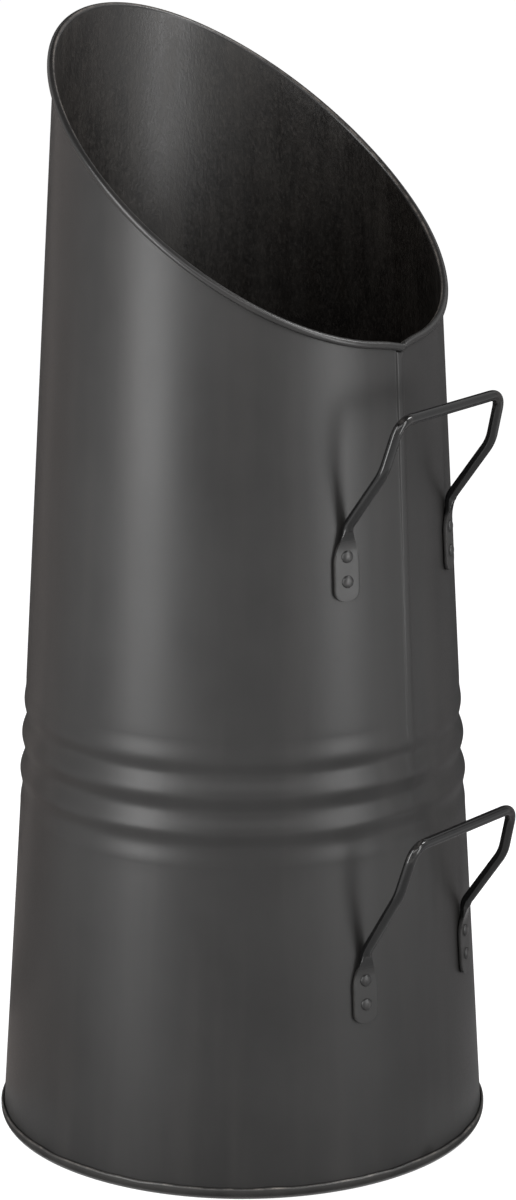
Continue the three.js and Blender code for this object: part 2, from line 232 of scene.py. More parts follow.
def paint(piece, name, values):
    """A number at each point, for the material to read."""
    layer = piece.data.attributes.new(name, "FLOAT", "POINT")
    layer.data.foreach_set("value", np.asarray(values, np.float32).ravel())


def ring_faces(rows, columns):
    """Quads of a closed tube of closed rows: both directions wrap."""
    faces = []
    for r in range(rows):
        s = (r + 1) % rows
        for c in range(columns):
            d = (c + 1) % columns
            faces.append((r * columns + c, r * columns + d, s * columns + d, s * columns + c))
    return faces


def arc(centre_x, centre_y, radius, start, end, steps):
    angles = np.linspace(start, end, steps + 1)
    return [(centre_x + radius * math.cos(a), centre_y + radius * math.sin(a)) for a in angles]


# ---------------------------------------------------------------- the sheet body

def body_columns():
    """For each column its turn, an arc in millimetres to add to it, and its seam distance."""
    near = np.concatenate([
        np.arange(-NOTCH_REACH, -FINE_REACH, NEAR_STEP),
        np.arange(-FINE_REACH, FINE_REACH + 0.01, FINE_STEP),
        np.arange(FINE_REACH + FINE_GAP, NOTCH_REACH + 0.01, NEAR_STEP),
    ])
    clear = SEAM_REACHES * NOTCH_REACH / cone_radius(LIP_MID + LIP_RISE)
    even = np.linspace(SEAM_TURN + clear, SEAM_TURN + 2 * np.pi - clear, EVEN_COLUMNS)
    turns = np.concatenate([np.full(len(near), SEAM_TURN), even])
    arcs = np.concatenate([near, np.zeros(len(even))])
    return turns, arcs, np.concatenate([near, np.full(len(even), FAR)])


COLUMN_TURN, COLUMN_ARC, SEAM_DISTANCE = body_columns()


def wall_row(height, out, folded=0.0):
    """One closed row of the wall at a height, moved out and with a share of the fold on it."""
    plain = cone_radius(height)
    turn = COLUMN_TURN + COLUMN_ARC / plain
    radius = plain + rib_offset(height) + ridge_offset(turn, height) + dent(turn, height)
    radius = radius + out + folded * fold_offset(SEAM_DISTANCE, height)
    return radius, turn, np.full(len(turn), float(height))


def hem_row(out, lip, folded=0.0, rolled=0.0):
    """One closed row that follows the lip, at an offset square to it."""
    nick = np.exp(-((SEAM_DISTANCE - PINCH_ARC) / PINCH_WIDTH) ** 2)
    pinch = 1 - rolled * PINCH_SHARE * nick
    out = HEM_INNER + (out - HEM_INNER) * pinch
    lip = lip * pinch
    turn = COLUMN_TURN + COLUMN_ARC / cone_radius(LIP_MID - LIP_RISE)
    slope = lip_slope(turn)
    height = lip_height(turn) + lip * np.cos(slope)
    plain = cone_radius(height)
    moved = turn - lip * np.sin(slope) / plain
    radius = plain + ridge_offset(moved, height) + dent(moved, height)
    return radius + out + folded * fold_offset(SEAM_DISTANCE, height), moved, height


def between(low, high, count):
    """Rows that change evenly from one row to another, without the two themselves."""
    steps = np.linspace(0, 1, count + 2)[1:-1]
    return [tuple(a + (b - a) * t for a, b in zip(low, high)) for t in steps]


def body_rows():
    """Rows up the outside, round the rolled lip and down the inside, with the zone that each is in
    and how far its coat is rubbed."""
    bottom = PAN_THICKNESS + PAN_CLEARANCE
    above_pan = PAN_LIP + PAN_CLEARANCE
    curl_end = -math.pi / 2 - HEM_OVERLAP
    rows, zones, rubbed = [], [], []

    def add(new, zone, rub=0.0):
        rows.extend(new)
        zones.extend([zone] * len(new))
        rubbed.extend([rub] * len(new))

    add([wall_row(bottom, 0), wall_row(above_pan, 0)], "out")
    low = np.linspace(above_pan + SEAM_HEIGHT, RIB_BOTTOM, LOW_ROWS)
    add([wall_row(h, 0, 1) for h in low], "out")
    add([wall_row(h, 0, 1) for h in np.linspace(RIB_BOTTOM, RIB_TOP, RIB_ROWS)[1:]], "out")
    under = -(HEM_OUTER + SEAM_HEIGHT)
    top_outer = hem_row(0, under, 1)
    add(between(rows[-1], top_outer, HIGH_ROWS), "out")
    fold_ending = hem_row(0, (under - HEM_OUTER) / 2, FOLD_END_SHARE)
    add([top_outer, fold_ending, hem_row(0, -HEM_OUTER, 0)], "out")
    for out, lip in arc(HEM_INNER, 0, HEM_INNER, math.pi, curl_end, CURL_STEPS):
        add([hem_row(out, lip)], "hem")
    middle = (HEM_INNER + HEM_OUTER) / 2
    tip_x = HEM_INNER + middle * math.cos(curl_end)
    tip_y = middle * math.sin(curl_end)
    for out, lip in arc(tip_x, tip_y, SHEET / 2, curl_end + math.pi, curl_end, TIP_STEPS)[1:-1]:
        add([hem_row(out, lip)], "hem")
    for out, lip in arc(HEM_INNER, 0, HEM_OUTER, curl_end, math.pi, BEAD_STEPS):
        round_bead = math.atan2(lip, out - HEM_INNER)
        rub = math.exp(-((round_bead - BEAD_RUB_AT) / BEAD_RUB_WIDTH) ** 2)
        rolled = float(smooth(out, ROLLED_FROM, ROLLED_TO))
        add([hem_row(out, lip, rolled=rolled)], "hem", rub)
    add(between(rows[-1], wall_row(RIB_TOP, -SHEET), INNER_HIGH_ROWS), "in")
    for start, end, count, skip in (
        (RIB_TOP, RIB_BOTTOM, INNER_RIB_ROWS, 0), (RIB_BOTTOM, bottom, INNER_LOW_ROWS, 1),
    ):
        add([wall_row(h, -SHEET) for h in np.linspace(start, end, count)[skip:]], "in")
    return rows, zones, rubbed


# ---------------------------------------------------------------- materials

# Base colours, in pairs from the darker clouds to the lighter
COAT_CLOUDS = (0.0100, 0.0095, 0.0093), (0.0150, 0.0145, 0.0142)
COAT_STREAK, COAT_RUBBED = (0.0205, 0.0192, 0.0185), (0.1050, 0.0920, 0.0820)
# Inside, the clouds are darker than the outer coat's: painted shade in the body's hollow; the dust
# and streaks are its own
INSIDE_SHADED_CLOUDS = (0.0032, 0.0025, 0.0021), (0.0085, 0.0071, 0.0060)
INSIDE_DUST, INSIDE_STREAK = (0.0290, 0.0252, 0.0218), (0.0190, 0.0162, 0.0136)
ROD_CLOUDS = (0.0030, 0.0030, 0.0032), (0.0060, 0.0058, 0.0058)
TAB_TONE, ROD_RUBBED = (0.0180, 0.0175, 0.0171), (0.045, 0.042, 0.040)
RIVET_CLOUDS = (0.008, 0.0078, 0.0080), (0.018, 0.0176, 0.0176)
RIVET_RUBBED = (0.040, 0.038, 0.037)
PAN_CLOUDS = (0.018, 0.0175, 0.017), (0.032, 0.0305, 0.029)
PAN_RUBBED = (0.150, 0.135, 0.120)
WIRE_CLOUDS = (0.20, 0.19, 0.18), (0.36, 0.34, 0.32)


class Nodes:
    """A small helper that builds a Principled material. Noise scales are waves per metre."""

    def __init__(self, name):
        self.material = bpy.data.materials.new(name)
        self.material.use_nodes = True
        self.tree = self.material.node_tree
        self.shader = self.tree.nodes["Principled BSDF"]
        self.place = self.node("ShaderNodeTexCoord").outputs["Object"]

    def node(self, kind, **settings):
        made = self.tree.nodes.new(kind)
        for key, value in settings.items():
            setattr(made, key, value)
        return made

    def link(self, source, target):
        self.tree.links.new(source, target)

    def feed(self, **sources):
        for key, source in sources.items():
            self.link(source, self.shader.inputs[key.replace("_", " ")])

    def set(self, **values):
        for key, value in values.items():
            self.shader.inputs[key.replace("_", " ")].default_value = value

    def stretched(self, upright):
        mapping = self.node("ShaderNodeMapping")
        mapping.inputs["Scale"].default_value = (1, 1, upright)
        self.link(self.place, mapping.inputs["Vector"])
        return mapping.outputs["Vector"]

    def noise(self, scale, detail, rough, vector=None):
        made = self.node("ShaderNodeTexNoise")
        made.inputs["Scale"].default_value = scale
        made.inputs["Detail"].default_value = detail
        made.inputs["Roughness"].default_value = rough
        self.link(vector or self.place, made.inputs["Vector"])
        return made.outputs["Fac"]

    def remap(self, value, low, high, new_low=0.0, new_high=1.0):
        made = self.node("ShaderNodeMapRange")
        made.inputs["From Min"].default_value = low
        made.inputs["From Max"].default_value = high
        made.inputs["To Min"].default_value = new_low
        made.inputs["To Max"].default_value = new_high
        self.link(value, made.inputs["Value"])
        return made.outputs["Result"]

    def math(self, kind, a, b):
        made = self.node("ShaderNodeMath", operation=kind)
        for socket, value in zip(made.inputs, (a, b)):
            if isinstance(value, (int, float)):
                socket.default_value = value
            else:
                self.link(value, socket)
        return made.outputs["Value"]

    def mix(self, factor, a, b):
        made = self.node("ShaderNodeMix", data_type="RGBA")
        sockets = (made.inputs["Factor"], made.inputs["A"], made.inputs["B"])
        for socket, value in zip(sockets, (factor, a, b)):
            if isinstance(value, tuple):
                socket.default_value = (*value, 1)
            else:
                self.link(value, socket)
        return [o for o in made.outputs if o.type == "RGBA"][0]

    def painted(self, name):
        return self.node("ShaderNodeAttribute", attribute_name=name).outputs["Fac"]

    def wear(self, patches):
        """The painted wear, broken up by patches."""
        return self.math("MULTIPLY", self.painted("wear"), patches)

    def bump(self, height, strength, distance, normal=None):
        made = self.node("ShaderNodeBump")
        made.inputs["Strength"].default_value = strength
        made.inputs["Distance"].default_value = distance
        self.link(height, made.inputs["Height"])
        if normal is not None:
            self.link(normal, made.inputs["Normal"])
        return made.outputs["Normal"]


def coat_material():
    """Satin black coat on rolled sheet: faint upright streaks, cloudy gloss, worn lip."""
    m = Nodes("satin_coat")
    streaks = m.noise(60, 3, 0.5, m.stretched(0.06))
    clouds = m.noise(14, 5, 0.6)
    grain = m.noise(900, 2, 0.5)
    tone = m.mix(m.remap(clouds, 0.35, 0.68), *COAT_CLOUDS)
    tone = m.mix(m.remap(streaks, 0.48, 0.75, 0, 0.6), tone, COAT_STREAK)
    tone = m.mix(m.wear(m.remap(m.noise(220, 3, 0.6), 0.38, 0.62, 0.15)), tone, COAT_RUBBED)
    cloudy = m.remap(clouds, 0.3, 0.7, 0.38, 0.45)
    gloss = m.math("ADD", cloudy, m.remap(grain, 0.3, 0.7, -0.02, 0.02))
    gloss = m.math("ADD", gloss, m.math("MULTIPLY", m.painted("rim"), -0.12))
    peel = m.bump(m.noise(120, 3, 0.5), 0.05, 0.0005)
    m.feed(Base_Color=tone, Roughness=gloss, Normal=m.bump(grain, 0.10, 0.0002, peel))
    m.set(Specular_IOR_Level=0.5, IOR=1.4)
    return m.material


def inside_shaded_material():
    """The same coat inside, mottled and dusty, with its clouds darker than outside as painted
    shade.
    """
    m = Nodes("inside_coat_painted_shade")
    blotch = m.noise(70, 6, 0.7)
    streaks = m.noise(110, 4, 0.65, m.stretched(0.12))
    grain = m.noise(760, 3, 0.7, m.stretched(0.5))
    # painted shade: the darker clouds stand for the shade inside the body
    tone = m.mix(m.remap(blotch, 0.38, 0.66), *INSIDE_SHADED_CLOUDS)
    tone = m.mix(m.remap(grain, 0.50, 0.72, 0, 0.5), tone, INSIDE_DUST)
    tone = m.mix(m.remap(streaks, 0.50, 0.78, 0, 0.5), tone, INSIDE_STREAK)
    streaky = m.remap(streaks, 0.3, 0.7, 0.35, 0.45)
    gloss = m.math("ADD", streaky, m.remap(grain, 0.3, 0.7, -0.04, 0.06))
    rough = m.bump(grain, 0.30, 0.0004, m.bump(blotch, 0.12, 0.0008))
    m.feed(Base_Color=tone, Roughness=gloss, Normal=rough)
    m.set(Specular_IOR_Level=0.5, IOR=1.5)
    return m.material


def rod_material():
    """Gloss black on the rods, rubbed on the bends, and the body's satin on the tabs."""
    m = Nodes("rod_coat")
    clouds = m.noise(80, 4, 0.6)
    grain = m.noise(1100, 2, 0.5)
    tone = m.mix(m.remap(clouds, 0.35, 0.7), *ROD_CLOUDS)
    tone = m.mix(m.painted("tab"), tone, TAB_TONE)
    tone = m.mix(m.wear(m.remap(m.noise(300, 4, 0.6), 0.40, 0.66)), tone, ROD_RUBBED)
    gloss = m.remap(clouds, 0.3, 0.7, 0.10, 0.15)
    gloss = m.math("ADD", gloss, m.math("MULTIPLY", m.painted("tab"), 0.24))
    rough = m.bump(grain, 0.05, 0.0002, m.bump(clouds, 0.06, 0.0004))
    m.feed(Base_Color=tone, Roughness=gloss, Normal=rough)
    m.set(Specular_IOR_Level=0.5, IOR=1.38)
    return m.material


def rivet_material():
    """Blackened steel, rubbed on the crown."""
    m = Nodes("rivet_coat")
    clouds = m.noise(260, 4, 0.6)
    tone = m.mix(m.remap(clouds, 0.35, 0.7), *RIVET_CLOUDS)
    tone = m.mix(m.wear(m.remap(m.noise(500, 4, 0.6), 0.38, 0.62)), tone, RIVET_RUBBED)
    gloss = m.remap(clouds, 0.3, 0.7, 0.30, 0.42)
    m.feed(Base_Color=tone, Roughness=gloss, Normal=m.bump(clouds, 0.15, 0.0003))
    m.set(Specular_IOR_Level=0.5, IOR=1.4)
    return m.material


def pan_material():
    """A duller coat on the base, rubbed along the clinched edge."""
    m = Nodes("pan_coat")
    clouds = m.noise(30, 5, 0.6)
    grain = m.noise(900, 2, 0.5)
    tone = m.mix(m.remap(clouds, 0.35, 0.7), *PAN_CLOUDS)
    tone = m.mix(m.wear(m.remap(m.noise(240, 4, 0.6), 0.42, 0.66)), tone, PAN_RUBBED)
    gloss = m.remap(clouds, 0.3, 0.7, 0.34, 0.46)
    m.feed(Base_Color=tone, Roughness=gloss, Normal=m.bump(grain, 0.12, 0.0002))
    m.set(Specular_IOR_Level=0.5, IOR=1.45)
    return m.material


def wire_material():
    m = Nodes("wire_steel")
    clouds = m.noise(200, 4, 0.6)
    gloss = m.remap(clouds, 0.3, 0.7, 0.35, 0.55)
    m.feed(Base_Color=m.mix(clouds, *WIRE_CLOUDS), Roughness=gloss)
    m.set(Metallic=0.9)
    return m.material


# ---------------------------------------------------------------- body, wire and pan

def finish_piece(piece, slot, *nodes):
    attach(piece, "root")
    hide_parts(*nodes)


def build_body():
    rows, zones, rubbed = body_rows()
    points = np.concatenate([place(*row) for row in rows])
    columns = len(COLUMN_TURN)
    faces = ring_faces(len(rows), columns)
    inner = np.repeat([zone == "in" for zone in zones[1:] + zones[:1]], columns)
    materials = [coat_material(), inside_shaded_material()]
    body = mesh_piece("scuttle_body", points, faces, materials, inner, sharp=50)
    paint(body, "wear", np.repeat(rubbed, columns))
    paint(body, "rim", np.repeat([float(zone == "hem") for zone in zones], columns))
    finish_piece(body, "black_coat", "body_shell")


def build_wire():
    section = arc(HEM_INNER, 0, WIRE_RADIUS, 0, 2 * math.pi, WIRE_SIDES)[:-1]
    rows = [hem_row(out, lip) for out, lip in section]
    points = np.concatenate([place(*row) for row in rows])
    faces = ring_faces(len(rows), len(COLUMN_TURN))
    wire = mesh_piece("lip_wire", points, faces, [wire_material()])
    finish_piece(wire, "hoop_wire", "rim_wire")


def revolve(profile, columns):
    """A closed surface: the profile's two ends are on the axis."""
    profile = np.array(profile, float)
    turns = np.arange(columns) * 2 * np.pi / columns
    points = [(0, 0, profile[0, 1])]
    for radius, height in profile[1:-1]:
        points.extend((radius * math.sin(t), -radius * math.cos(t), height) for t in turns)
    points.append((0, 0, profile[-1, 1]))
    faces = []
    rows = len(profile) - 2
    last = len(points) - 1
    for c in range(columns):
        d = (c + 1) % columns
        faces.append((0, 1 + d, 1 + c))
        for r in range(rows - 1):
            a, b = 1 + r * columns, 1 + (r + 1) * columns
            faces.append((a + c, a + d, b + d, b + c))
        faces.append((1 + (rows - 1) * columns + c, 1 + (rows - 1) * columns + d, last))
    return np.array(points), faces


def pan_profile():
    """From the middle of the underside, round the foot of the sheet, to the middle of the top."""
    sheet_out = FOOT_RADIUS + PAN_CLEARANCE
    lip_out = sheet_out + PAN_THICKNESS
    top = PAN_RECESS + PAN_THICKNESS
    skirt_out = cone_radius(top) - SHEET - SKIRT_CLEARANCE
    skirt_in = skirt_out - PAN_THICKNESS
    bend, quarter = PAN_BEND, math.pi / 2
    disc = (30, 60, 90)
    profile = [(0, PAN_RECESS)]
    profile += [(r, PAN_RECESS) for r in disc]
    profile += arc(skirt_in - bend, PAN_RECESS - bend, bend, quarter, 0, 6)
    profile += arc(skirt_in + bend, bend, bend, math.pi, 3 * quarter, 6)
    profile += [((skirt_in + lip_out) / 2, 0)]
    # the bead outside the sheet: a quarter of an ellipse up to its widest, and a round top edge
    for a in np.linspace(-quarter, 0, 9):
        profile += [(lip_out - BEAD_TUCK * (1 - math.cos(a)), BEAD_MIDDLE * (1 + math.sin(a)))]
    profile += arc(lip_out - BEAD_TOP, PAN_LIP - BEAD_TOP, BEAD_TOP, 0, quarter, 8)
    profile += [(sheet_out - 0.12, PAN_LIP - 0.05), (sheet_out - 0.15, PAN_THICKNESS)]
    profile += [(skirt_out, PAN_THICKNESS)]
    profile += arc(skirt_out - bend, top - bend, bend, 0, quarter, 5)
    profile += [(r, top) for r in disc[::-1]]
    profile += [(0, top)]
    return profile


def build_pan():
    points, faces = revolve(pan_profile(), PAN_COLUMNS)
    turn = np.arctan2(points[:, 0], -points[:, 1])
    reach = np.hypot(points[:, 0], points[:, 1])
    # the clinched lip is a little uneven where it was rolled over
    outside = smooth(reach, FOOT_RADIUS - 2 * PAN_THICKNESS, FOOT_RADIUS)
    on_lip = outside * smooth(points[:, 2], LIP_STEADY, LIP_LOOSE)
    wander = sum(depth * np.cos(count * turn + start) for count, start, depth in LIP_WAVES)
    points[:, 2] += on_lip * (wander - LIP_DROP)
    wear = smooth(reach - FOOT_RADIUS, *PAN_RUB_OUT) * smooth(points[:, 2], *PAN_RUB_UP)
    pan = mesh_piece("foot_pan", place_points(points), faces, [pan_material()], sharp=45)
    paint(pan, "wear", wear)
    finish_piece(pan, "base_coat", "base_pan")


# ---------------------------------------------------------------- handles and rivets

def turn_point(radius, turn, height):
    return np.array([radius * math.sin(turn), -radius * math.cos(turn), height])


def tab_seat(side, height):
    """Axes along the wall, up it and out of it, and the point on it behind a tab's lower rivet."""
    turn = side * math.asin(FOOT_SPREAD / float(cone_radius(height)))
    taper = LOWER_TAPER if height < TAPER_BREAK else UPPER_TAPER
    out = turn_point(1, turn, taper)
    up = turn_point(-taper, turn, 1)
    out, up = out / np.linalg.norm(out), up / np.linalg.norm(up)
    return np.cross(up, out), up, out, turn_point(float(cone_radius(height)), turn, height)


def seat_point(seat, x, y, z):
    side, up, out, origin = seat
    return origin + side * x + up * y + out * z


def bend_run(points, radii, step):
    """A polyline along straight runs with a rounded bend at each inner point."""
    line = [points[0]]

    def straight(to):
        start = line[-1]
        count = max(1, int(np.linalg.norm(to - start) / step))
        line.extend(start + (to - start) * k / count for k in range(1, count + 1))

    for before, corner, after, radius in zip(points, points[1:], points[2:], radii):
        back = (before - corner) / np.linalg.norm(before - corner)
        ahead = (after - corner) / np.linalg.norm(after - corner)
        turn = math.pi - math.acos(float(np.dot(back, ahead)))
        reach = radius * math.tan(turn / 2)
        first, last = corner + back * reach, corner + ahead * reach
        straight(first)
        count = max(8, int(2 * reach / (step * 0.5)))
        for k in range(1, count + 1):
            t = k / count
            line.append(first * (1 - t) ** 2 + corner * 2 * t * (1 - t) + last * t * t)
    straight(points[-1])
    return np.array(line)


def rod_line(seats, rod_height):
    """Points along the rod's centre from one tab to the other, and how far along each is."""
    knee_z, grip_z = rod_height + KNEE_RISE, rod_height + GRIP_RISE
    knee_y = -(float(cone_radius(knee_z)) + KNEE_STAND_OFF)
    grip_y = -(float(cone_radius(grip_z)) + GRIP_STAND_OFF)
    out = TAB_CLEARANCE + ROD_RADIUS
    left, right = (
        [
            seat_point(seat, 0, ROD_FROM, out),
            seat_point(seat, 0, FOOT_BEND_RISE, out),
            np.array([side * KNEE_SPREAD, knee_y, knee_z]),
            np.array([side * GRIP_SPREAD, grip_y, grip_z]),
        ]
        for seat, side in zip(seats.values(), (-1, 1))
    )
    radii = [FOOT_BEND, KNEE_BEND, GRIP_BEND, GRIP_BEND, KNEE_BEND, FOOT_BEND]
    rough = bend_run(left + right[::-1], radii, BEND_STEP)
    run = np.concatenate([[0], np.cumsum(np.linalg.norm(np.diff(rough, axis=0), axis=1))])
    fine = np.concatenate([
        np.arange(0, END_REACH, END_STEP),
        np.arange(END_REACH, run[-1] - END_REACH, ROD_STEP),
        run[-1] - np.arange(END_REACH, 0, -END_STEP),
        run[-1:],
    ])
    return np.stack([np.interp(fine, run, rough[:, k]) for k in range(3)], 1), fine


def handle_stations(seats, rod_height):
    """The handle's centre line, how far up its own tab each station is, and a tab's stations."""
    corner = np.linspace(math.pi / 2, 0, CORNER_STEPS)
    rises = [TAB_CORNER - TAB_FOOT_DROP - TAB_CORNER * math.sin(a) for a in corner]
    rises += list(np.arange(TAB_CORNER - TAB_FOOT_DROP + FLAT_STEP, THICKEN_FROM, FLAT_STEP))
    rises += list(np.arange(THICKEN_FROM, ROD_FROM - 0.1, END_STEP))
    out = TAB_CLEARANCE + ROD_RADIUS
    rod, fine = rod_line(seats, rod_height)
    centre = [seat_point(seats["left"], 0, rise, out) for rise in rises] + list(rod)
    centre += [seat_point(seats["right"], 0, rise, out) for rise in rises[::-1]]
    along = rises + [ROD_FROM + min(way, fine[-1] - way) for way in fine] + rises[::-1]
    return np.array(centre), along, len(rises)


def handle_frames(centre, first, last, on_tab):
    """Tangents, and outward directions that are carried along the line without twist and then
    eased, so that both tabs lie on the wall."""
    tangent = np.gradient(centre, axis=0)
    tangent /= np.linalg.norm(tangent, axis=1)[:, None]
    outward = [first]
    for before, after in zip(tangent, tangent[1:]):
        axis = np.cross(before, after)
        size = np.linalg.norm(axis)
        now = outward[-1]
        if size > 1e-9:
            spin = Matrix.Rotation(math.asin(min(1.0, size)), 3, Vector(axis / size))
            now = np.array(spin @ Vector(now))
        now = now - after * np.dot(now, after)
        outward.append(now / np.linalg.norm(now))
    across = np.cross(tangent[-1], outward[-1])
    miss = math.atan2(float(np.dot(last, across)), float(np.dot(last, outward[-1])))
    count, ease = len(centre), on_tab + 20
    share = smooth(np.arange(count), ease, count - ease)
    spins = [Matrix.Rotation(miss * float(s), 3, Vector(t)) for s, t in zip(share, tangent)]
    return tangent, [np.array(spin @ Vector(o)) for spin, o in zip(spins, outward)]


def tab_section(along):
    """Half width, thickness, facet height and squareness of the handle, this far up a tab."""
    half = TAB_WIDTH / 2
    width = half + (ROD_RADIUS - half) * smooth(along, TAB_TAPER_RISE, TAB_NECK_RISE)
    into_corner = TAB_CORNER - TAB_FOOT_DROP - along
    if into_corner > 0:
        width = half - TAB_CORNER + math.sqrt(max(0.0, TAB_CORNER ** 2 - into_corner ** 2))
    grow = 2 * ROD_RADIUS - TAB_THICKNESS
    full = TAB_THICKNESS + grow * smooth(along, THICKEN_FROM, THICKEN_TO)
    rise = float(np.clip((along - FACET_FROM) / FACET_REACH, 0, 1.1))
    facet = TAB_THICKNESS + grow * rise ** FACET_POWER
    rounded = smooth(along, SQUARE_TO, ROUND_BY)
    square = TAB_SQUARENESS - (TAB_SQUARENESS - ROD_SQUARENESS) * rounded
    return float(width), float(full), float(facet), float(square)


def signed_power(value, power):
    return np.sign(value) * np.abs(value) ** power


def handle_rows(centre, tangent, outward, along):
    """Rings of points along the handle, and the wear on the edges of its flats."""
    angles = np.arange(ROD_SIDES) * 2 * np.pi / ROD_SIDES
    rows, wear = [], []
    for point, t, o, rise in zip(centre, tangent, outward, along):
        across = np.cross(t, o)
        width, full, facet, square = tab_section(rise)
        u = width * signed_power(np.cos(angles), 2 / square)
        v = full / 2 * (1 + signed_power(np.sin(angles), 2 / square))
        on_facet = v > facet
        v = np.minimum(v, facet) - ROD_RADIUS
        rows.append(point + across * u[:, None] + o * v[:, None])
        edge = smooth(np.abs(u) / max(width, 0.1), *TAB_EDGE) * (1 - smooth(rise, *TAB_EDGE_FADE))
        face = on_facet * smooth(rise, *FACET_RUB)
        wear.append(np.maximum(TAB_EDGE_WEAR * edge, FACET_WEAR * face))
    return np.array(rows), np.array(wear)


def bend_wear(tangent, along):
    """Wear at each station where the rod bends, clear of the bend above the tab."""
    turning = np.linalg.norm(np.gradient(tangent, axis=0), axis=1)
    mean = [turning[max(0, k - 3):k + 4].mean() for k in range(len(turning))]
    clear = np.array(along) > FOOT_BEND_RISE + BEND_CLEAR
    return BEND_WEAR * smooth(mean, *BEND_RUB) * clear


def capped_faces(count, sides):
    """Quads of an open tube of closed rows, closed by fans to the two points after its own."""
    faces = []
    for r in range(count - 1):
        for c in range(sides):
            d = (c + 1) % sides
            faces.append((r * sides + c, (r + 1) * sides + c, (r + 1) * sides + d, r * sides + d))
    first, last = count * sides, count * sides + 1
    for c in range(sides):
        d = (c + 1) % sides
        faces.append((first, c, d))
        faces.append((last, (count - 1) * sides + d, (count - 1) * sides + c))
    return faces


def build_handle(level):
    heights = HANDLES[level]
    seats = {"left": tab_seat(-1, heights["left"]), "right": tab_seat(1, heights["right"])}
    centre, along, on_tab = handle_stations(seats, heights["rod"])
    tangent, outward = handle_frames(centre, seats["left"][2], seats["right"][2], on_tab)
    rows, wear = handle_rows(centre, tangent, outward, along)
    wear = np.maximum(wear, bend_wear(tangent, along)[:, None])
    tab = np.repeat(1 - smooth(along, *TAB_COAT_FADE), ROD_SIDES)
    half_out = TAB_CLEARANCE + TAB_THICKNESS / 2
    ends = [seat_point(seat, 0, -TAB_FOOT_DROP, half_out) for seat in seats.values()]
    points = place_points(np.concatenate([rows.reshape(-1, 3), ends]))
    faces = capped_faces(len(rows), ROD_SIDES)
    handle = mesh_piece(f"{level}_grip", points, faces, [MATERIALS["rod"]], sharp=35)
    paint(handle, "wear", np.concatenate([wear.ravel(), [0, 0]]))
    paint(handle, "tab", np.concatenate([tab, [1, 1]]))
    finish_piece(handle, "handle_coat", f"{level}_handle")
    for side, seat in seats.items():
        for spot, rise in (("bottom", 0.0), ("top", RIVET_PITCH)):
            build_rivet(f"rivet_{level}_{side}_{spot}", seat, rise)


def build_rivet(node, seat, rise):
    under = TAB_CLEARANCE + TAB_THICKNESS - RIVET_SINK
    inside = -(SHEET + RIVET_TAIL_GAP)
    end, wide = inside - RIVET_TAIL_HEIGHT, RIVET_TAIL_RADIUS
    tail = [
        (0, end),
        (TAIL_FLAT * wide, end),
        (TAIL_BEVEL * wide, inside - TAIL_FLAT * RIVET_TAIL_HEIGHT),
        (wide, inside - TAIL_EDGE * RIVET_TAIL_HEIGHT),
        (wide, inside + TAIL_SINK),
        (RIVET_SHANK, inside + TAIL_SINK),
        (RIVET_SHANK, under),
    ]
    head = [
        (
            RIVET_HEAD_RADIUS * math.cos(a) ** HEAD_WIDTH_POWER,
            under + RIVET_HEAD_HEIGHT * math.sin(a) ** HEAD_HEIGHT_POWER,
        )
        for a in np.linspace(0, math.pi / 2, 12)[:-1]
    ]
    top = under + RIVET_HEAD_HEIGHT
    points, faces = revolve(tail + head + [(0, top - CROWN_DIP)], RIVET_SIDES)
    side, up, out, origin = seat
    placed = origin + points[:, :1] * side + (points[:, 1:2] + rise) * up + points[:, 2:] * out
    rivet = mesh_piece(f"{node}_set", place_points(placed), faces, [MATERIALS["rivet"]], sharp=50)
    paint(rivet, "wear", smooth(points[:, 2], under + 0.75 * RIVET_HEAD_HEIGHT, top))
    finish_piece(rivet, "rivet_steel", node)


MATERIALS = {"rod": rod_material(), "rivet": rivet_material()}
build_body()
build_wire()
build_pan()
for level_name in HANDLES:
    build_handle(level_name)

# ---------------------------------------------------------------- floor, world, lamps, in metres

WHITE_SHARE = 0.84      # the floor's own white, to which its lit part adds
DIM_WORLD = 0.40        # the world's strength where it isn't seen
FLOOR_RADIUS, FLOOR_SIDES, FLOOR_DROP = 14.0, 64, 0.0002
FLOOR_TONE, MATT = (0.42, 0.42, 0.42, 1), 0.9
TOP_CARD_HALF, TOP_CARD_HEIGHT = 1.15, 1.6
CARD_LIFT, SHADE_LIFT, SHADE_SIDES = 0.001, 0.0004, 96

CAMERA_TURN = math.radians(-50.65)
CAMERA_AWAY, CAMERA_HEIGHT = 1.93115, 0.79609
CAMERA_PITCH, CAMERA_YAW, CAMERA_ROLL = 15.72, 0.2125, 0.0881
FOCAL_PIXELS, IMAGE_HEIGHT = 4292.82, 1200


def seen_rays(tree):
    """1 for camera, glossy and transmission rays."""
    path = tree.nodes.new("ShaderNodeLightPath")
    total = path.outputs["Is Camera Ray"]
    for name in ("Is Glossy Ray", "Is Transmission Ray"):
        add = tree.nodes.new("ShaderNodeMath")
        add.operation = "MAXIMUM"
        tree.links.new(total, add.inputs[0])
        tree.links.new(path.outputs[name], add.inputs[1])
        total = add.outputs["Value"]
    return total


def build_floor():
    turns = [2 * math.pi * k / FLOOR_SIDES for k in range(FLOOR_SIDES)]
    rim = [(FLOOR_RADIUS * math.cos(t), FLOOR_RADIUS * math.sin(t), -FLOOR_DROP) for t in turns]
    data = bpy.data.meshes.new("floor")
    data.from_pydata(rim, [], [tuple(range(FLOOR_SIDES))])
    material = bpy.data.materials.new("floor_white")
    material.use_nodes = True
    tree = material.node_tree
    shader = tree.nodes["Principled BSDF"]
    shader.inputs["Base Color"].default_value = FLOOR_TONE
    shader.inputs["Roughness"].default_value = MATT
    shader.inputs["Specular IOR Level"].default_value = 0.0
    glow = tree.nodes.new("ShaderNodeMath")
    glow.operation = "MULTIPLY"
    tree.links.new(seen_rays(tree), glow.inputs[0])
    glow.inputs[1].default_value = WHITE_SHARE
    shader.inputs["Emission Color"].default_value = (1, 1, 1, 1)
    tree.links.new(glow.outputs["Value"], shader.inputs["Emission Strength"])
    data.materials.append(material)
    floor = bpy.data.objects.new("floor", data)
    bpy.context.scene.collection.objects.link(floor)


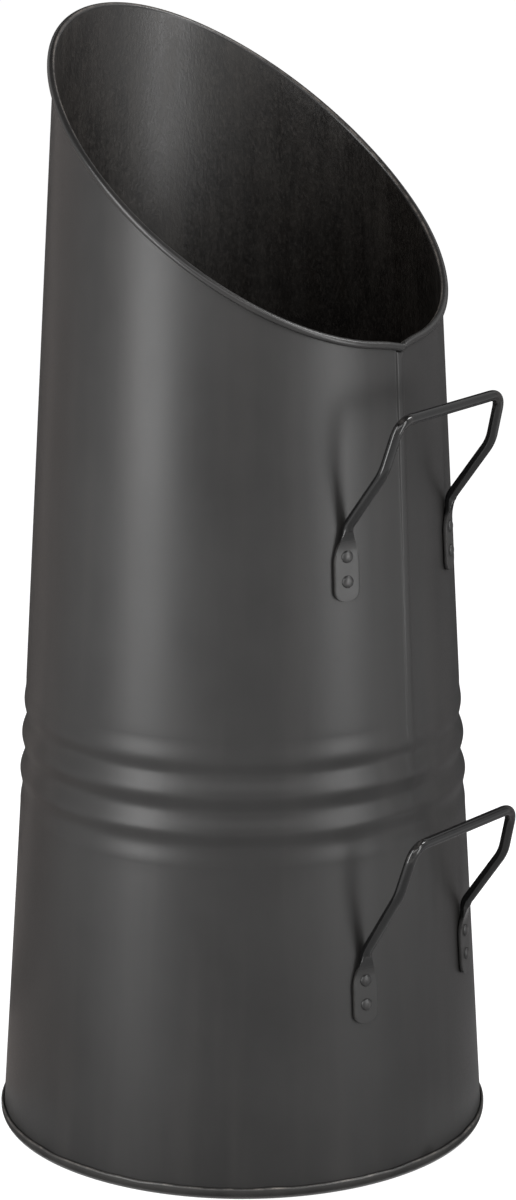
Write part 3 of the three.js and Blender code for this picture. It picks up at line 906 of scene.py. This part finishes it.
def build_world():
    world = bpy.data.worlds.new("studio")
    bpy.context.scene.world = world
    world.use_nodes = True
    tree = world.node_tree
    background = tree.nodes["Background"]
    background.inputs["Color"].default_value = (1, 1, 1, 1)
    amount = tree.nodes.new("ShaderNodeMapRange")
    amount.inputs["To Min"].default_value = DIM_WORLD
    amount.inputs["To Max"].default_value = 1.0
    tree.links.new(seen_rays(tree), amount.inputs["Value"])
    tree.links.new(amount.outputs["Result"], background.inputs["Strength"])


def around(azimuth, away, height):
    """A point at an azimuth from the front, a distance from the body's axis and a height."""
    return Vector((away * math.sin(azimuth), AXIS_Y * MM - away * math.cos(azimuth), height))


def softbox(name, degrees_from_camera, away, height, width, tall, power, aim=0.5):
    """A lamp that points at the body's axis at a height, and that the camera doesn't see."""
    lamp = bpy.data.lights.new(name, "AREA")
    lamp.shape = "RECTANGLE"
    lamp.size, lamp.size_y = width, tall
    lamp.energy = power
    holder = bpy.data.objects.new(name, lamp)
    bpy.context.scene.collection.objects.link(holder)
    holder.location = around(CAMERA_TURN + math.radians(degrees_from_camera), away, height)
    towards = Vector((0, AXIS_Y * MM, aim)) - holder.location
    holder.rotation_euler = towards.to_track_quat("-Z", "Y").to_euler()
    holder.visible_camera = False


def stage_card(name, corners, faces, shade):
    """A card that only reflections see."""
    data = bpy.data.meshes.new(name)
    data.from_pydata([tuple(corner) for corner in corners], [], faces)
    material = bpy.data.materials.new(name)
    material.use_nodes = True
    shader = material.node_tree.nodes["Principled BSDF"]
    shader.inputs["Base Color"].default_value = (*shade, 1)
    shader.inputs["Roughness"].default_value = MATT
    data.materials.append(material)
    card = bpy.data.objects.new(name, data)
    bpy.context.scene.collection.objects.link(card)
    card.visible_camera = card.visible_diffuse = card.visible_shadow = False


def side_card(name, degrees_from_camera, near, away, wide, tall, shade):
    """A bent card that the satin coat mirrors along its edge: it lies on the floor up to a
    distance from the axis and stands upright from there."""
    azimuth = CAMERA_TURN + math.radians(degrees_from_camera)
    along = Vector((math.cos(azimuth), math.sin(azimuth), 0)) * wide / 2
    corners = []
    for distance, height in ((near, CARD_LIFT), (away, CARD_LIFT), (away, tall)):
        middle = around(azimuth, distance, height)
        corners += [middle - along, middle + along]
    stage_card(name, corners, [(0, 1, 3, 2), (2, 3, 5, 4)], shade)


def foot_shade(name, near, away, grey):
    """A ring of shaded floor round the foot, as the foot and the wall above it mirror it."""
    count = SHADE_SIDES
    turns = [2 * math.pi * k / count for k in range(count)]
    corners = [around(t, distance, SHADE_LIFT) for distance in (near, away) for t in turns]
    faces = [(k, (k + 1) % count, count + (k + 1) % count, count + k) for k in range(count)]
    stage_card(name, corners, faces, (grey, grey, grey))


def top_card(grey):
    """A dark sheet above, as the upper sides of the rods and of the rolled lip mirror it."""
    corners = [
        (x * TOP_CARD_HALF, y * TOP_CARD_HALF, TOP_CARD_HEIGHT)
        for x, y in ((-1, -1), (1, -1), (1, 1), (-1, 1))
    ]
    stage_card("top_card", corners, [(0, 1, 2, 3)], (grey, grey, grey))


def build_camera():
    """The photo's camera, found from the object's outline: its place and turns, in degrees."""
    pitch, yaw, roll = (math.radians(a) for a in (CAMERA_PITCH, CAMERA_YAW, CAMERA_ROLL))
    flat = math.cos(pitch)
    forward = Vector((math.sin(yaw) * flat, math.cos(yaw) * flat, -math.sin(pitch)))
    level = forward.cross(Vector((0, 0, 1))).normalized()
    above = level.cross(forward)
    right = level * math.cos(roll) + above * math.sin(roll)
    up = above * math.cos(roll) - level * math.sin(roll)
    spin = Matrix.Rotation(CAMERA_TURN, 3, "Z")
    right, up, forward = spin @ right, spin @ up, spin @ forward
    data = bpy.data.cameras.new("camera")
    data.sensor_width = 36
    data.lens = FOCAL_PIXELS / IMAGE_HEIGHT * data.sensor_width
    data.clip_end = 100
    camera = bpy.data.objects.new("camera", data)
    bpy.context.scene.collection.objects.link(camera)
    turn = Matrix((right, up, -forward)).transposed().to_4x4()
    spot = around(CAMERA_TURN, CAMERA_AWAY, CAMERA_HEIGHT)
    camera.matrix_world = Matrix.Translation(spot) @ turn
    bpy.context.scene.camera = camera


build_floor()
build_world()
softbox("left_box", -50, away=0.95, height=0.62, width=0.30, tall=1.2, power=12.6)
softbox("right_box", 51, away=0.95, height=0.62, width=0.26, tall=1.2, power=7.6)
softbox("top_box", 0, away=1.45, height=1.35, width=1.60, tall=0.40, power=8.0, aim=0.2)
side_card("left_card", -122, near=0.118, away=0.55, wide=0.42, tall=0.60, shade=(0.50, 0.45, 0.43))
side_card("right_card", 122, near=0.118, away=0.55, wide=0.42, tall=0.60, shade=(0.40, 0.39, 0.395))
side_card("back_card", 180, near=0.118, away=0.90, wide=1.30, tall=1.10, shade=(0.03, 0.03, 0.03))
foot_shade("foot_shade_near", near=0.1165, away=0.126, grey=0.03)
foot_shade("foot_shade_far", near=0.126, away=0.50, grey=0.60)
top_card(grey=0.05)
softbox("mouth_box", 88, away=0.75, height=1.15, width=0.30, tall=0.30, power=5.6, aim=0.44)
build_camera()
bpy.context.scene.view_settings.view_transform = "Standard"
